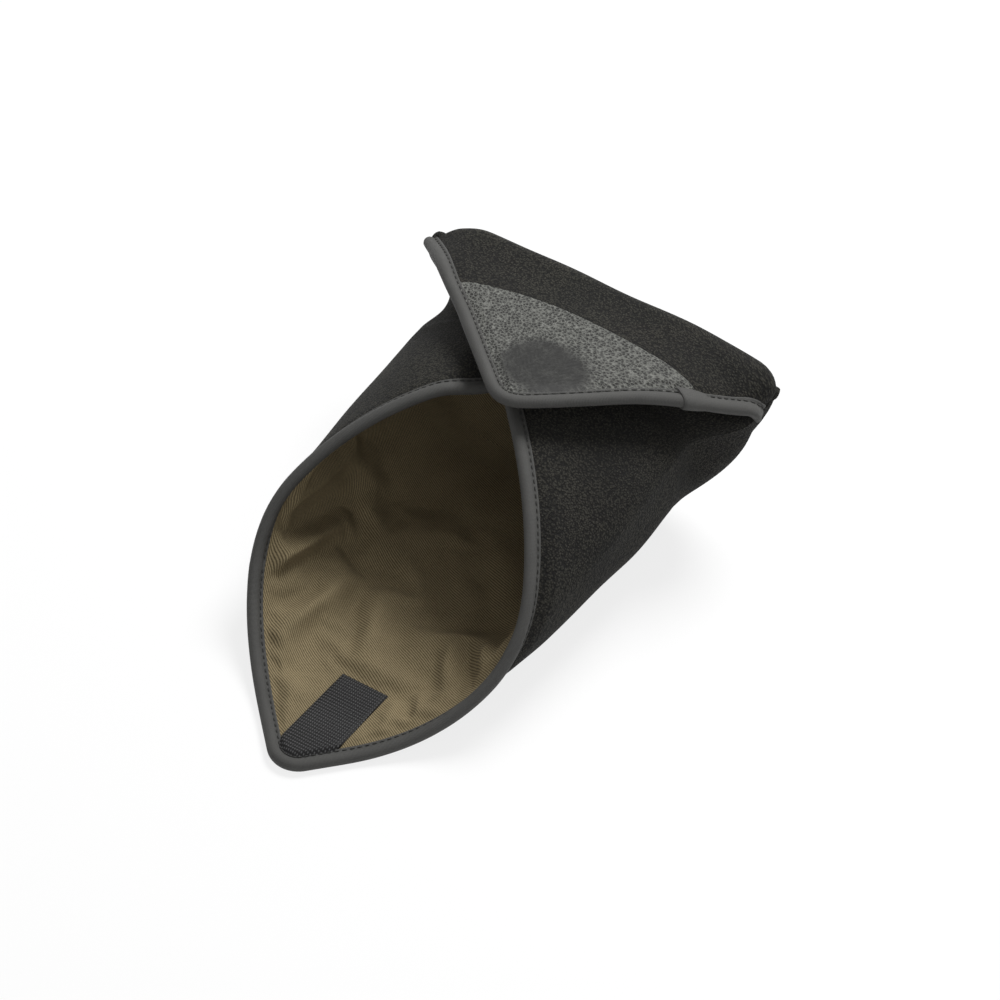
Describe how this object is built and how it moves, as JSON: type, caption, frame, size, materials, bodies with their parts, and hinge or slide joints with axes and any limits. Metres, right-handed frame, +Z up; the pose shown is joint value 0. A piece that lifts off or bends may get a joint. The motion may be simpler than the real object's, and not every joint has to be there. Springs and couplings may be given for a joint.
{
  "type": "padded camera wrap",
  "caption": "Square padded cloth wrap folded into an open pouch, with edge binding, hook strip, side flaps and a closing flap with a leather corner.",
  "frame": {"origin": "centre of the bounding box in plan, on the ground plane", "axes": "+Y from the front tip to the back fold, +X to the right seen from the front, +Z up"},
  "size_m": [0.182, 0.2456, 0.1034],
  "materials": {
    "outer_loop_fabric": "matt loop pile",
    "foam_padding": "soft foam core",
    "lining_twill": "matt twill",
    "edge_binding": "smooth woven tape",
    "leather_patch": "pebbled",
    "hook_tape": "fine hook rows"
  },
  "bodies": {
    "base": {"base_outer": "outer_loop_fabric", "base_padding": "foam_padding", "base_lining": "lining_twill", "rim_binding_left": "edge_binding", "rim_binding_right": "edge_binding", "ear_binding_left": "edge_binding", "ear_binding_right": "edge_binding"},
    "front_tongue": {"tongue_outer": "outer_loop_fabric", "tongue_padding": "foam_padding", "tongue_lining": "lining_twill", "tongue_binding": "edge_binding", "front_hook_strip": "hook_tape"},
    "right_flap": {"right_flap_outer": "outer_loop_fabric", "right_flap_padding": "foam_padding", "right_flap_lining": "lining_twill", "right_flap_binding": "edge_binding"},
    "left_flap": {"left_flap_outer": "outer_loop_fabric", "left_flap_padding": "foam_padding", "left_flap_lining": "lining_twill", "left_flap_binding": "edge_binding"},
    "closing_flap": {"closing_flap_outer": "outer_loop_fabric", "closing_flap_padding": "foam_padding", "closing_flap_lining": "lining_twill", "closing_flap_binding": "edge_binding", "leather_corner_patch": "leather_patch", "closing_hook_pad": "hook_tape", "binding_join_cover": "edge_binding"}
  },
  "joints": [
    {"name": "tongue_fold", "type": "hinge", "parent": "base", "child": "front_tongue", "pos_m": [-0.00929, -0.0647, 0.0112], "axis": [-1, 0, 0], "range_deg": [0, 40]},
    {"name": "closing_flap_lift", "type": "hinge", "parent": "base", "child": "closing_flap", "pos_m": [0.00071, 0.1153, 0.0842], "axis": [-0.9992, 0, 0.04], "range_deg": [0, 150]},
    {"name": "right_flap_open", "type": "hinge", "parent": "base", "child": "right_flap", "pos_m": [0.0567, -0.0443, 0.0407], "axis": [0.0879, 0.9768, 0.1954], "range_deg": [0, 90]},
    {"name": "left_flap_open", "type": "hinge", "parent": "base", "child": "left_flap", "pos_m": [-0.07528, -0.0443, 0.0407], "axis": [0.0299, -0.9978, -0.0599], "range_deg": [0, 63]}
  ],
  "couplings": [
    {"joint": "right_flap_open", "follows": "closing_flap_lift", "ratio": 0.6},
    {"joint": "left_flap_open", "follows": "closing_flap_lift", "ratio": 0.42}
  ]
}
